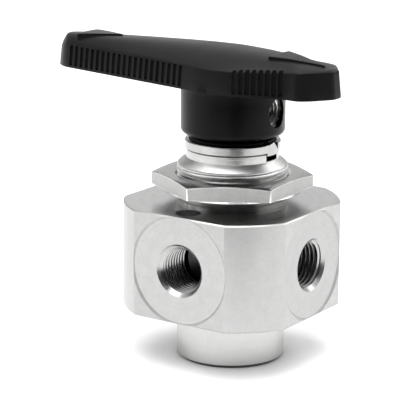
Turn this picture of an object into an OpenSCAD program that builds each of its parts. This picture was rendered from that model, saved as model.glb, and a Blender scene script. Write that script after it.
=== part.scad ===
// Three way ball valve with a round-bar body, two side ports, a bottom port and a lever handle.
// The stem axis is Z, and the origin is the middle of the bottom port's end face.
// The side ports open towards +X and -Y. The handle rests pointing at the +X port.

/* [Body] */
// Diameter of the bar that the body is turned from
bar_d = 43.5; // [41:0.1:46]
// Distance across the four flats
across_flats = 38.1; // [36:0.1:40]
// Height of the block that holds the side ports
block_h = 21.5; // [20:0.5:24]
// Diameter of the bottom stub
stub_d = 21.7; // [19:0.1:26]
// Height of the bottom stub
stub_h = 10.8; // [10:0.1:14]
// Chamfer along the edges of the block and the stub
edge_chamfer = 0.25; // [0.2:0.05:0.6]

/* [Ports] */
// Diameter of the tapped hole, measured at the thread crests
port_d = 8.7; // [8:0.1:9.4]
// Depth of each tapped hole
port_depth = 9.6; // [8.6:0.1:9.8]
// Diameter of the countersink at the mouth
port_mouth_d = 10.7; // [10:0.1:12]
// Diameter of the passage behind each tapped hole
orifice_d = 3.2; // [2.4:0.1:3.6]
// Diameter of the faced circle around each side port
spot_d = 21.2; // [20:0.2:24]
// Depth of the faced circle
spot_depth = 0.3; // [0.1:0.05:0.5]

/* [Neck] */
// Outside diameter of the panel thread
thread_d = 22.2; // [20:0.1:24]
// Height of the full thread above the block
thread_h = 7.1; // [6.8:0.1:7.6]
// Diameter of the plain band above the thread
band_d = 18.6; // [18:0.1:19]
// Height from the block's top to the top of the band
neck_h = 10.7; // [10.5:0.1:11.5]
// Width of the slot milled through the band
slot_w = 3.8; // [3:0.1:4.5]

/* [Panel nut] */
// Distance across the flats of the panel nut
nut_af = 28.2; // [27:0.1:30]
// Thickness of the hexagon
nut_h = 3; // [2.5:0.1:4]
// Height of the nut above the block as delivered
nut_gap = 2.25; // [2:0.05:2.5]

/* [Locating hole] */
// Diameter of the blind hole in the block's top
pin_hole_d = 5; // [4:0.1:5.2]
// Distance of the blind hole from the stem axis
pin_hole_at = 14.8; // [14:0.1:15.4]
// Direction of the blind hole from the stem axis, in degrees from +X
pin_hole_angle = -92.5; // [-100:0.5:-80]

/* [Handle] */
// Length of the long arm, from the stem axis
tail_len = 42; // [38:0.2:46]
// Length of the pointer arm, from the stem axis
pointer_len = 23.9; // [23:0.1:28]
// Diameter of the hub
hub_d = 20.8; // [20:0.1:22]
// Height of the arms' underside above the origin
arm_z = 55.4; // [54.5:0.1:56]
// Height of the handle's crest above the origin
crest_z = 63.4; // [62:0.1:65]
// Number of finger grooves along one side of the long arm
tail_grooves = 21; // [12:1:24]
// Number of finger grooves along one side of the pointer arm
pointer_grooves = 8; // [5:1:10]

/* [Hidden] */
$fn = 96;

steel = "silver";
bright_steel = "gainsboro";
ptfe = "white";
peek = "tan";
nylon = [0.12, 0.12, 0.12];
bronze = "darkgoldenrod";
eps = 0.01;
running = 0.06;              // radial clearance of a shaft in its hole

// Heights of the body
block_top = stub_h + block_h;
port_z = stub_h + block_h / 2;
neck_top = block_top + neck_h;
face = across_flats / 2;
orifice_r = orifice_d / 2;

// Main bore and the stack inside it, from the bottom up
bore_r = 7;
bore_floor = port_z - 8;
disc_t = 0.8;
packing_z = bore_floor + disc_t;
gland_z = port_z + 5.5;
gland_h = 4;
chevron_z = gland_z + gland_h;
chevron_h = 1.2;
chevron_rise = 0.6;
top_gland_z = chevron_z + 2 * chevron_h;
top_gland_h = 1.2;
spring_z = top_gland_z + top_gland_h + chevron_rise;
spring_t = 0.5;
spring_rise = 0.5;
bolt_z = spring_z + 2 * (spring_t + spring_rise);
bolt_r = 7.55;
bolt_bore_r = 7.6;
bolt_top = neck_top - 2.6;

// Ball and stem
ball_r = 5;
seat_gap = 0.15;
stem_r = 3;
seal_in = stem_r + 0.04;      // inside and outside radii of the stem seals
seal_out = bore_r - 0.04;
shoulder_r = 4.3;
shoulder_h = 1.1;
stem_flat = 2.5;             // distance of the stem's two flats from its axis
stem_top = arm_z + 0.8;
flats_z = neck_top + 1;

// Stop ring and stop pin
ring_r = 9.6;
ring_bore_r = 8.75;
ring_h = 1.7;
ring_key_drop = 0.45;
stop_pin_r = 0.8;
stop_pin_at = 8.7;
stop_pin_z = neck_top + 0.1;
stop_angle = 90;             // travel between the two stops
stop_clear = 0.4;            // degrees left between the pin and each stop

// Handle
hub_r = hub_d / 2;
hub_z = neck_top + 3.45;
spigot_r = 8.5;
spigot_z = neck_top + 0.15;
hub_taper = 1.15;
screw_z = arm_z - 4.4;
screw_r = 2.4;
screw_hole_r = 2.7;
insert_r = 5.2;
insert_z = hub_z + 0.4;
insert_face = hub_r - 1.1;
edge_z = 60.3;               // top of the arms' straight sides near the hub
draft = 0.1;                 // slope of the arms' sides
groove_r = 0.5;
arrow_t = 0.35;

// A solid from a half outline of [radius, height] points turned about Z
module turned(points) {
  rotate_extrude() polygon(points);
}

// A ring between two radii
module ring(outer, inner, z, h) {
  translate([0, 0, z]) difference() {
    cylinder(r = outer, h = h);
    translate([0, 0, -eps]) cylinder(r = inner, h = h + 2 * eps);
  }
}

// Children moved to the centre of the ports and turned so that +Z leads out along a direction
module outward(azimuth) {
  translate([0, 0, port_z]) rotate([0, 90, azimuth]) children();
}

// ---- Body ----

// Section of the square bar, chamfered top and bottom
module block_section() {
  polygon([
    [-face + edge_chamfer, stub_h], [face - edge_chamfer, stub_h],
    [face, stub_h + edge_chamfer], [face, block_top - edge_chamfer],
    [face - edge_chamfer, block_top], [-face + edge_chamfer, block_top],
    [-face, block_top - edge_chamfer], [-face, stub_h + edge_chamfer]
  ]);
}

// Round bar with four flats
module block() {
  bar_r = bar_d / 2;
  intersection() {
    turned([
      [0, stub_h], [bar_r - edge_chamfer, stub_h], [bar_r, stub_h + edge_chamfer],
      [bar_r, block_top - edge_chamfer], [bar_r - edge_chamfer, block_top], [0, block_top]
    ]);
    rotate([90, 0, 0]) linear_extrude(bar_d, center = true) block_section();
    rotate([90, 0, 90]) linear_extrude(bar_d, center = true) block_section();
  }
}

// Stub, thread, taper and band in one turned outline
module stub_and_neck() {
  stub_r = stub_d / 2;
  thread_r = thread_d / 2;
  band_r = band_d / 2;
  groove = 0.25;
  turned([
    [0, 0], [stub_r - 0.7, 0], [stub_r, 0.7], [stub_r, stub_h - 2 * groove],
    [stub_r - groove, stub_h - groove], [stub_r - groove, stub_h + eps],
    [stub_r - groove, block_top - eps], [thread_r, block_top - eps],
    [thread_r, block_top + thread_h], [thread_r - 0.15, block_top + thread_h + 0.5],
    [thread_r - 0.55, block_top + thread_h + 0.9], [band_r, block_top + thread_h + 1.85],
    [band_r, neck_top - 0.25], [band_r - 0.25, neck_top], [0, neck_top]
  ]);
}

// Tapped hole with its countersink and passage, opening at height 0 and running down
module port_cut(passage) {
  mouth_r = port_mouth_d / 2;
  crest_r = port_d / 2;
  mouth_depth = mouth_r - crest_r;
  translate([0, 0, -port_depth]) cylinder(r = crest_r, h = port_depth + 1);
  translate([0, 0, -mouth_depth]) cylinder(r1 = crest_r, r2 = mouth_r, h = mouth_depth);
  cylinder(r = mouth_r, h = 1);
  translate([0, 0, -port_depth - 1.2]) cylinder(r1 = orifice_r, r2 = crest_r, h = 1.2 + eps);
  translate([0, 0, -passage]) cylinder(r = orifice_r, h = passage);
}

module side_port_cut(azimuth) {
  floor_at = face - spot_depth;
  outward(azimuth) {
    translate([0, 0, floor_at]) cylinder(r1 = spot_d / 2, r2 = spot_d / 2 + 0.5, h = spot_depth);
    translate([0, 0, face]) cylinder(r = spot_d / 2 + 0.5, h = 5);
    translate([0, 0, floor_at]) port_cut(floor_at - bore_r + 1);
  }
}

module valve_body() {
  color(steel) difference() {
    union() {
      block();
      stub_and_neck();
    }
    side_port_cut(0);
    side_port_cut(-90);
    mirror([0, 0, 1]) port_cut(bore_floor + eps);
    translate([0, 0, bore_floor]) cylinder(r = bore_r, h = 50);
    translate([0, 0, bolt_z - 0.3]) cylinder(r = bolt_bore_r, h = 50);
    rotate([0, 0, pin_hole_angle]) translate([pin_hole_at, 0, block_top - 5])
      cylinder(d = pin_hole_d, h = 6);
    translate([bore_r - 1, -slot_w / 2, neck_top - 1.6]) cube([5, slot_w, 5]);
  }
}

// ---- Seals around the ball ----

module bottom_disc() {
  color(bright_steel) ring(bore_r - 0.02, orifice_r, bore_floor, disc_t);
}

// One support piece let into the packing's outside, with or without a passage
module side_piece(azimuth, open) {
  intersection() {
    ring(bore_r - 0.02, bore_r - 0.9, port_z - 5, 10);
    outward(azimuth) difference() {
      cylinder(r = 2.8, h = bore_r + 1);
      if (open) cylinder(r = orifice_r, h = 40, center = true);
    }
  }
}

module side_rings() {
  color(bright_steel) for (azimuth = [0, -90]) side_piece(azimuth, true);
}

module side_discs() {
  color(bright_steel) for (azimuth = [90, 180]) side_piece(azimuth, false);
}

// One-piece sleeve formed round the ball, with windows for the flow
module ball_packing() {
  color(ptfe) difference() {
    translate([0, 0, packing_z]) cylinder(r = bore_r - 0.02, h = gland_z - packing_z);
    translate([0, 0, port_z]) sphere(r = ball_r + seat_gap);
    translate([0, 0, port_z]) cylinder(r = stem_r + seat_gap, h = 20);
    translate([0, 0, packing_z - 1]) cylinder(r = orifice_r, h = 8);
    for (azimuth = [0, -90]) outward(azimuth) cylinder(r = orifice_r, h = bore_r + 1);
    for (azimuth = [0:90:270]) intersection() {
      ring(bore_r + 1, bore_r - 0.92, port_z - 5, 10);
      outward(azimuth) cylinder(r = 2.82, h = bore_r + 1);
    }
  }
}

// ---- Stem seals and preload ----

module lower_gland() {
  pocket_h = 1.8;
  color(bright_steel) difference() {
    ring(seal_out, stem_r + running, gland_z, gland_h);
    translate([0, 0, gland_z - 1]) cylinder(r = shoulder_r + 0.2, h = pocket_h + 1);
  }
}

module stem_bearing() {
  color(peek) ring(shoulder_r + 0.1, stem_r + running, gland_z + 1.2, 0.58);
}

// Ring with a conical top that rises towards its outside, and a bottom that matches
module chevron(z, flat_bottom) {
  rise = chevron_rise;
  bottom_rise = flat_bottom ? 0 : rise;
  color(ptfe) turned([
    [seal_in, z], [seal_out, z + bottom_rise], [seal_out, z + chevron_h + rise], [seal_in, z + chevron_h]
  ]);
}

module lower_chevron() {
  chevron(chevron_z, true);
}

module upper_chevron() {
  chevron(chevron_z + chevron_h, false);
}

module upper_gland() {
  top = spring_z;
  color(bright_steel) turned([
    [seal_in, top_gland_z], [seal_out, top_gland_z + chevron_rise], [seal_out, top], [seal_in, top]
  ]);
}

// One cone washer, rising towards its hole or away from it
module disc_spring(z, hole_up) {
  inner = stem_r + 0.4;
  outer = bore_r - 0.3;
  inner_rise = hole_up ? spring_rise : 0;
  outer_rise = spring_rise - inner_rise;
  turned([
    [inner, z + inner_rise], [outer, z + outer_rise],
    [outer, z + outer_rise + spring_t], [inner, z + inner_rise + spring_t]
  ]);
}

module packing_springs() {
  pair = spring_t + spring_rise;
  color(bright_steel) {
    disc_spring(spring_z, true);
    disc_spring(spring_z + pair, false);
  }
}

// Threaded ring that loads the springs, with two slots for a spanner
module packing_bolt() {
  top = bolt_top;
  pocket = 1.1;
  color(bright_steel) difference() {
    ring(bolt_r, stem_r + running, bolt_z, top - bolt_z);
    translate([0, 0, top - pocket]) cylinder(r = 4.3, h = pocket + 1);
    translate([-bolt_r - 1, -1, top - 1.3]) cube([2 * bolt_r + 2, 2, 2]);
  }
}

// Open ring that keeps the stem in contact with the body
module grounding_spring() {
  wire_r = 0.42;
  color(bronze) translate([0, 0, bolt_top - 1.1 + wire_r + 0.02])
    rotate([0, 0, 20]) rotate_extrude(angle = 320) translate([3.62, 0]) circle(r = wire_r, $fn = 24);
}

// ---- Stop ring and pin ----

// Open ring whose two ends stop the pin, keyed to the neck by a tooth in the slot
module stop_ring() {
  pin_angle = asin(stop_pin_r / stop_pin_at) + stop_clear;
  solid_angle = 360 - stop_angle - 2 * pin_angle;
  tooth_side = slot_w / 2 - 0.03;
  color(steel) difference() {
    union() {
      rotate([0, 0, 180 + pin_angle]) rotate_extrude(angle = solid_angle)
        translate([ring_bore_r, neck_top]) polygon([
          [0, 0], [ring_r - ring_bore_r - 0.15, 0], [ring_r - ring_bore_r, 0.15],
          [ring_r - ring_bore_r, ring_h - 0.12], [ring_r - ring_bore_r - 0.12, ring_h], [0, ring_h]
        ]);
      intersection() {
        ring(ring_r, ring_bore_r, neck_top - 1, 4);
        tooth(tooth_side);
      }
    }
    slot_gap(tooth_side);
  }
}

// Outline of the tooth, seen from the +X port
module tooth(side) {
  translate([0, 0, neck_top]) rotate([90, 0, 90]) linear_extrude(12) polygon([
    [-side, -ring_key_drop], [side, -ring_key_drop], [side, 0.35],
    [0.1, ring_h + 0.35], [-side, ring_h - 0.1]
  ]);
}

// Space above the tooth's falling edge
module slot_gap(side) {
  translate([0, 0, neck_top]) rotate([90, 0, 90]) linear_extrude(12) polygon([
    [0.1, ring_h + 0.35], [side, 0.35], [side, 3], [0.1, 3]
  ]);
}

module stop_pin() {
  color(bright_steel) translate([-stop_pin_at, 0, stop_pin_z]) cylinder(r = stop_pin_r, h = 6, $fn = 32);
}

// ---- Panel nut ----

module panel_nut() {
  z = block_top + nut_gap;
  face_h = 0.5;
  corner_r = nut_af / 2 / cos(30);
  flat_r = nut_af / 2;
  bore = thread_d / 2 + running;
  top = z + face_h + nut_h;
  corner_drop = 0.55;
  color(steel) difference() {
    intersection() {
      union() {
        translate([0, 0, z + face_h]) rotate([0, 0, 30]) cylinder(r = corner_r, h = nut_h, $fn = 6);
        translate([0, 0, z]) cylinder(r = flat_r - 0.1, h = face_h + eps);
      }
      turned([
        [0, z], [corner_r, z], [corner_r, top - corner_drop], [flat_r - 0.3, top], [0, top]
      ]);
    }
    translate([0, 0, z - 1]) cylinder(r = bore, h = nut_h + 5);
    translate([0, 0, top - 0.5]) cylinder(r1 = bore, r2 = bore + 0.6, h = 0.5 + eps);
  }
}

// ---- Ball stem ----

// Ball and stem in one piece, drilled from below and out towards the pointer
module ball_stem() {
  color(bright_steel) difference() {
    union() {
      translate([0, 0, port_z]) sphere(r = ball_r);
      translate([0, 0, port_z]) cylinder(r = stem_r, h = stem_top - port_z);
      translate([0, 0, gland_z + 0.05]) cylinder(r = shoulder_r, h = shoulder_h);
    }
    translate([0, 0, port_z - 10]) cylinder(r = orifice_r, h = 10);
    outward(0) cylinder(r = orifice_r, h = 10);
    translate([0, 0, port_z]) sphere(r = orifice_r);
    for (side = [-1, 1]) translate([side * (stem_flat + 5), 0, flats_z + 10])
      cube([10, 10, 20], center = true);
  }
}

// ---- Handle ----

// Upright slice across an arm at a place along X: drafted sides below a crowned top
module arm_slice(x, half_w, edge, crest) {
  top_w = half_w - draft * (edge - arm_z);
  rise = crest - edge;
  crown_r = (top_w * top_w + rise * rise) / (2 * rise);
  sweep = asin(top_w / crown_r);
  arc = [for (i = [-8:8]) [crown_r * sin(sweep * i / 8), crest - crown_r * (1 - cos(sweep * i / 8))]];
  translate([x - eps, 0, 0]) rotate([90, 0, 90]) linear_extrude(2 * eps)
    polygon(concat([[half_w, arm_z], [-half_w, arm_z]], arc));
}

module long_arm() {
  hull() {
    arm_slice(-tail_len, 1.5, arm_z + 0.2, arm_z + 0.4);
    arm_slice(-tail_len + 0.5, 2.6, edge_z - 0.2, edge_z + 0.5);
    arm_slice(-tail_len + 1.2, 3.2, edge_z + 0.1, edge_z + 1.3);
    arm_slice(-tail_len + 3, 3.9, edge_z + 0.2, crest_z - 1.4);
    arm_slice(-27, 6, edge_z + 0.2, crest_z - 0.8);
    arm_slice(-9, 9, edge_z + 0.1, crest_z);
  }
}

module middle() {
  hull() {
    arm_slice(-9, 9, edge_z + 0.1, crest_z);
    arm_slice(-5, 10, edge_z - 0.1, crest_z);
    arm_slice(0, 10.6, edge_z - 0.2, crest_z);
    arm_slice(6, 10.1, edge_z, crest_z - 0.3);
  }
}

module pointer_arm() {
  hull() {
    arm_slice(6, 10.1, edge_z, crest_z - 0.3);
    arm_slice(14, 7.9, edge_z + 0.3, crest_z - 1);
    arm_slice(19, 7.2, edge_z + 0.5, crest_z - 1.8);
    arm_slice(20.8, 5.6, edge_z + 0.5, crest_z - 2.2);
    arm_slice(pointer_len - 0.6, 2.2, edge_z + 0.1, crest_z - 2.6);
    arm_slice(pointer_len, 1.2, arm_z + 0.2, arm_z + 0.4);
  }
}

// Finger grooves along a straight side between two points, on both sides of the handle
module grooves(count, from, to) {
  for (i = [0:count - 1], side = [-1, 1]) {
    at = from + (to - from) * i / (count - 1);
    translate([at.x, side * (at.y + groove_r * 0.45), arm_z]) rotate([side * atan(draft), 0, 0])
      translate([0, 0, 0.6]) cylinder(r = groove_r, h = 10, $fn = 16);
  }
}

// Upright prism with an arrowhead's outline, pointing along +X
module arrow_prism(base_x, tip_x, half_w) {
  translate([0, 0, arm_z + 3]) linear_extrude(10)
    polygon([[base_x, -half_w], [tip_x, 0], [base_x, half_w]]);
}

// Raised arrowheads, each as high above the crown all over
module arrowheads() {
  intersection() {
    translate([0, 0, arrow_t]) long_arm();
    arrow_prism(-36.5, -27, 3.2);
  }
  intersection() {
    translate([0, 0, arrow_t]) pointer_arm();
    arrow_prism(10.3, 21, 3.9);
  }
}

// Hub, taper and spigot in one turned outline
module hub() {
  turned([
    [0, spigot_z], [spigot_r, spigot_z], [spigot_r, hub_z - hub_taper], [hub_r, hub_z],
    [hub_r, arm_z + 1], [0, arm_z + 1]
  ]);
}

// Pockets moulded into the underside between thin ribs
module underside_pockets() {
  pocket_h = 4;
  for (i = [0:4]) {
    x0 = -37.5 + i * 5.2;
    half_w = 1.9 + i * 0.95;
    translate([x0, -half_w, arm_z - 1]) cube([4.2, 2 * half_w, pocket_h + 1]);
  }
  translate([12.6, -4.4, arm_z - 1]) cube([5, 8.8, pocket_h]);
}

module insert_shape(clear) {
  translate([0, 0, insert_z]) cylinder(r = insert_r + clear, h = arm_z - insert_z + 1.4);
  translate([0, 0, screw_z]) rotate([0, 90, 0]) cylinder(r = 3.6 + clear, h = insert_face);
}

module handle_insert() {
  color(bronze) difference() {
    insert_shape(0);
    stem_socket();
    translate([0, 0, screw_z]) rotate([0, 90, 0]) cylinder(r = screw_r, h = 20);
  }
}

// Round hole with two flats that the stem's end fits
module stem_socket() {
  intersection() {
    translate([0, 0, insert_z - 1]) cylinder(r = stem_r + 0.03, h = stem_top - insert_z + 1.1);
    translate([0, 0, insert_z + 5]) cube([2 * stem_flat + 0.06, 10, 30], center = true);
  }
}

module set_screw() {
  socket_af = 2;
  length = 4;
  color(bright_steel) translate([stem_flat + 0.03, 0, screw_z]) rotate([0, 90, 0]) difference() {
    cylinder(r = screw_r - 0.02, h = length);
    translate([0, 0, length - 1.8]) cylinder(d = socket_af / cos(30), h = 3, $fn = 6);
  }
}

module handle() {
  color(nylon) difference() {
    union() {
      hub();
      long_arm();
      middle();
      pointer_arm();
      arrowheads();
    }
    grooves(tail_grooves, [-37.2, 4.05], [-7.2, 9.25]);
    grooves(pointer_grooves, [6.4, 9.85], [15.4, 7.45]);
    underside_pockets();
    insert_shape(0.01);
    translate([0, 0, screw_z]) rotate([0, 90, 0]) cylinder(r = screw_hole_r, h = 20);
    translate([0, 0, spigot_z - 1]) cylinder(r = insert_r + 1.2, h = insert_z - spigot_z + 1);
    translate([-stop_pin_at, 0, stop_pin_z - 1]) cylinder(r = stop_pin_r, h = 7.01, $fn = 32);
  }
}

valve_body();
bottom_disc();
side_rings();
side_discs();
ball_packing();
lower_gland();
stem_bearing();
lower_chevron();
upper_chevron();
upper_gland();
packing_springs();
packing_bolt();
grounding_spring();
stop_ring();
panel_nut();
ball_stem();
stop_pin();
handle_insert();
set_screw();
handle();
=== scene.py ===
import math
import bpy
import bmesh
import numpy as np
from mathutils import Matrix, Vector


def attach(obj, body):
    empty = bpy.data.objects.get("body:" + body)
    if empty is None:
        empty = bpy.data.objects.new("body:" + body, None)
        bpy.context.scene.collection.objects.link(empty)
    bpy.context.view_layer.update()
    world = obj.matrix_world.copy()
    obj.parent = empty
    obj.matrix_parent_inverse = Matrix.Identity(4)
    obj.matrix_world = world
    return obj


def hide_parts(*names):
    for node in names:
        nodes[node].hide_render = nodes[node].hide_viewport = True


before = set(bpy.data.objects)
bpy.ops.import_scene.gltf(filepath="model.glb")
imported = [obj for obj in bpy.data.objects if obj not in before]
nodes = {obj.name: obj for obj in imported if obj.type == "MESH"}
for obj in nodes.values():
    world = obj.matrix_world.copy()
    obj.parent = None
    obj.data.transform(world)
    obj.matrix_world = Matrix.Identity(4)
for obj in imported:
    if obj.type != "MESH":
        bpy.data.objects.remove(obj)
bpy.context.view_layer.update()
print("frame loaded:", len(nodes), "nodes")

mm = 0.001

# Heights and radii shared by the pieces, in millimetres
valveSizes = {
    "portHeight": 21.55,  # centre of the side ports
    "flat": 19.05,  # stem axis to each flat
    "facedDepth": 0.3,  # faced circle round each side port
    "facedRadius": 10.6,
    "litDepth": 12.2,  # nearer the stem than this, a port is painted near-black as shade
    "blockTop": 32.3,
    "neckThreadTop": 40.5,
    "barRadius": 21.75,  # round bar that the block is milled from
}


# small helpers
def newObject(name, mesh):
    made = bpy.data.objects.new(name, mesh)
    bpy.context.scene.collection.objects.link(made)
    return made


def meshFrom(name, verts, faces):
    mesh = bpy.data.meshes.new(name)
    mesh.from_pydata([tuple(v) for v in verts], [], faces)
    mesh.update()
    return mesh


def cleaned(mesh, distance=1e-5, recalc=False):
    work = bmesh.new()
    work.from_mesh(mesh)
    bmesh.ops.remove_doubles(work, verts=work.verts, dist=distance)
    bmesh.ops.dissolve_degenerate(work, edges=work.edges, dist=distance)
    if recalc:
        bmesh.ops.recalc_face_normals(work, faces=work.faces)
    work.to_mesh(mesh)
    work.free()
    mesh.update()
    return mesh


def closedSolid(name, verts, faces, distance):
    return newObject(name, cleaned(meshFrom(name, verts, faces), distance, recalc=True))


def millimetreCopy(node, name):
    mesh = nodes[node].data.copy()
    mesh.name = name
    mesh.materials.clear()
    mesh.transform(Matrix.Scale(1 / mm, 4))
    made = newObject(name, mesh)
    cleaned(mesh, 0.002)
    if mesh.attributes.get("custom_normal"):
        mesh.attributes.remove(mesh.attributes["custom_normal"])
    return made


def settle(obj):
    # the evaluated result becomes the object's own plain mesh
    graph = bpy.context.evaluated_depsgraph_get()
    mesh = bpy.data.meshes.new_from_object(obj.evaluated_get(graph))
    obj.modifiers.clear()
    old = obj.data
    obj.data = mesh
    if old.users == 0:
        bpy.data.meshes.remove(old)
    return obj


def combine(obj, tools, operation="DIFFERENCE"):
    for tool in tools:
        cut = obj.modifiers.new("cut", "BOOLEAN")
        cut.operation = operation
        cut.solver = "MANIFOLD"
        cut.object = tool
    settle(obj)
    for tool in tools:
        bpy.data.objects.remove(tool)
    return obj


def edgeReport(obj):
    work = bmesh.new()
    work.from_mesh(obj.data)
    loose = sum(1 for e in work.edges if len(e.link_faces) != 2)
    volume = work.calc_volume(signed=True)
    work.free()
    print(f"  {obj.name}: {len(obj.data.polygons)} faces, {loose} open edges, {volume:.1f} mm3")


def lathe(name, outline, steps):
    # outline of (radius, height) points, closed through the axis or as a ring
    pts = np.array(outline, float)
    turn = np.linspace(0, 2 * np.pi, steps, endpoint=False)
    ring = np.stack([np.cos(turn), np.sin(turn)], 1)
    count = len(pts)
    verts, faces, first = [], [], []
    for r, z in pts:
        first.append(len(verts))
        if r < 1e-6:
            verts.append((0, 0, z))
        else:
            verts += [(c * r, s * r, z) for c, s in ring]
    for k in range(count):
        a, b = first[k], first[(k + 1) % count]
        ra, rb = pts[k][0] > 1e-6, pts[(k + 1) % count][0] > 1e-6
        for i in range(steps):
            j = (i + 1) % steps
            if ra and rb:
                faces.append((a + i, a + j, b + j, b + i))
            elif ra:
                faces.append((a + i, a + j, b))
            elif rb:
                faces.append((a, b + j, b + i))
    return closedSolid(name, verts, faces, 1e-4)


def curved(a, b, c, s):
    # a short curve from a to c that leaves and arrives along the lines to b
    return (1 - s) ** 2 * a + 2 * s * (1 - s) * b + s * s * c


def filleted(points, radii, steps=5):
    # closed outline with its corners rounded by a short curve
    pts = np.array(points, float)
    out = []
    for k, p in enumerate(pts):
        a, b = pts[k - 1] - p, pts[(k + 1) % len(pts)] - p
        la, lb = np.linalg.norm(a), np.linalg.norm(b)
        reach = min(radii[k], la * 0.49, lb * 0.49)
        if reach <= 0:
            out.append(p)
            continue
        start, end = p + a / la * reach, p + b / lb * reach
        out += [curved(start, p, end, s) for s in np.linspace(0, 1, steps)]
    return np.array(out)


def stripFaces(rows, count, closed=False):
    # quads between rows of points, each row a loop
    faces = []
    for k in range(rows if closed else rows - 1):
        a, b = k * count, (k + 1) % rows * count
        for i in range(count):
            j = (i + 1) % count
            faces.append((a + i, a + j, b + j, b + i))
    return faces


def sideways(height):
    # turns a tool that stands on the origin to point along +X at this height
    return Matrix.Translation((0, 0, height)) @ Matrix.Rotation(math.pi / 2, 4, "Y")


def placed(obj, matrix):
    obj.data.transform(matrix)
    return obj


def finishPiece(obj, body, replaced, sharp):
    edgeReport(obj)
    mesh = obj.data
    mesh.transform(Matrix.Scale(mm, 4))
    mesh.polygons.foreach_set("use_smooth", [True] * len(mesh.polygons))
    mesh.set_sharp_from_angle(angle=math.radians(sharp))
    mesh.update()
    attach(obj, body)
    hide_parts(*replaced)
    return obj


# node trees that make tools
def geometryTree(name, wanted):
    tree = bpy.data.node_groups.new(name, "GeometryNodeTree")
    tree.interface.new_socket("Geometry", in_out="OUTPUT", socket_type="NodeSocketGeometry")
    for label, kind, value in wanted + [("Material", "Material", None)]:
        made = tree.interface.new_socket(label, in_out="INPUT", socket_type="NodeSocket" + kind)
        if value is not None:
            made.default_value = value
    return tree, tree.nodes.new("NodeGroupInput")


def wire(tree, given, wires):
    # each wire starts at a named input of the tree or at a node's first output
    for source, node, socket in wires:
        start = given.outputs[source] if isinstance(source, str) else source.outputs[0]
        tree.links.new(start, node.inputs[socket])


def closeTree(tree, given, sweep, last):
    real, paint = tree.nodes.new("GeometryNodeRealizeInstances"), tree.nodes.new("GeometryNodeSetMaterial")
    sweep.inputs["Fill Caps"].default_value = True
    wire(tree, given, [
        (last, real, 0), (real, paint, "Geometry"), ("Material", paint, "Material"),
        (paint, tree.nodes.new("NodeGroupOutput"), 0),
    ])
    return tree


def threadTree():
    tree, given = geometryTree("threadCutter", [
        ("Turns", "Float", 6.0), ("Start Radius", "Float", 5.0), ("End Radius", "Float", 5.0),
        ("Height", "Float", 5.0), ("Steps", "Int", 96), ("Root", "Vector", (0, 0.05, 0)),
        ("Mouth", "Vector", (-0.6, 0.4, 0)),
    ])
    add = tree.nodes.new
    spiral, upright = add("GeometryNodeCurveSpiral"), add("GeometryNodeSetCurveNormal")
    spiral.inputs["Reverse"].default_value = True  # right-hand threads
    upright.mode = "Z_UP"
    section, sweep = add("GeometryNodeCurvePrimitiveQuadrilateral"), add("GeometryNodeCurveToMesh")
    section.mode = "POINTS"
    flip = [add("ShaderNodeVectorMath"), add("ShaderNodeVectorMath")]
    for mirror in flip:  # the other half of the groove's section
        mirror.operation = "MULTIPLY"
        mirror.inputs[1].default_value = (1, -1, 1)
    wire(tree, given, [
        ("Steps", spiral, "Resolution"), ("Turns", spiral, "Rotations"), ("Height", spiral, "Height"),
        ("Start Radius", spiral, "Start Radius"), ("End Radius", spiral, "End Radius"), (spiral, upright, "Curve"),
        ("Root", section, "Point 1"), ("Root", flip[0], 0), (flip[0], section, "Point 2"),
        ("Mouth", flip[1], 0), (flip[1], section, "Point 3"), ("Mouth", section, "Point 4"),
        (upright, sweep, "Curve"), (section, sweep, "Profile Curve"),
    ])
    return closeTree(tree, given, sweep, sweep)


def treeMesh(name, tree, values):
    # runs a tree on an empty object and returns the object with the plain mesh it made
    holder = newObject(name, bpy.data.meshes.new(name))
    run = holder.modifiers.new("nodes", "NODES")
    run.node_group = tree
    inputs = [s for s in tree.interface.items_tree if s.item_type == "SOCKET" and s.in_out == "INPUT"]
    sockets = {s.name: s.identifier for s in inputs}
    for key, value in values.items():
        run[sockets[key]] = value
    return settle(holder)


threadCutter = threadTree()


def helicalTool(name, spec):
    # groove from the crest line to the root; side is +1 for a groove cut outwards and -1 inwards
    side = spec["side"]
    depth, flat = spec["depth"], spec["rootFlat"]
    reach = depth + spec["overrun"]
    halfMouth = flat / 2 + reach * math.tan(math.radians(30))
    obj = treeMesh(name, threadCutter, {
        "Turns": spec["turns"],
        "Start Radius": spec["crest"] + side * depth,
        "End Radius": spec["crest"] + side * (depth - spec.get("fade", 0)),
        "Height": spec["turns"] * spec["pitch"],
        "Steps": spec["steps"],
        "Root": (0.0, flat / 2, 0.0),
        "Mouth": (-side * reach, halfMouth, 0.0),
    })
    cleaned(obj.data, 1e-5, recalc=True)
    return obj


# body
bodyThreads = {
    "neck": {"side": -1, "crest": 11.1, "depth": 0.43, "overrun": 0.1, "rootFlat": 0.1, "pitch": 0.8,
             "turns": 8.9, "steps": 144, "bottom": 32.95, "phase": 200},
    # fade widens the ports' thread towards their mouths
    "port": {"side": 1, "crest": 4.35, "depth": 0.36, "overrun": 0.36, "rootFlat": 0.07, "pitch": 0.9407,
             "turns": 9.0, "steps": 72, "fade": -0.26, "inner": 10.3, "phase": 40},
}


def portTool(name, azimuth, down=False):
    spec = bodyThreads["port"]
    tool = helicalTool(name, spec)
    turn = Matrix.Rotation(math.radians(spec["phase"]), 4, "Z")
    if down:  # the bottom port opens towards -Z from the origin
        flip = Matrix.Rotation(math.pi, 4, "X")
        mouth = valveSizes["flat"] - valveSizes["facedDepth"]
        return placed(tool, flip @ Matrix.Translation((0, 0, spec["inner"] - mouth)) @ turn)
    lay = Matrix.Rotation(math.radians(azimuth), 4, "Z") @ sideways(valveSizes["portHeight"])
    return placed(tool, lay @ Matrix.Translation((0, 0, spec["inner"])) @ turn)


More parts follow.
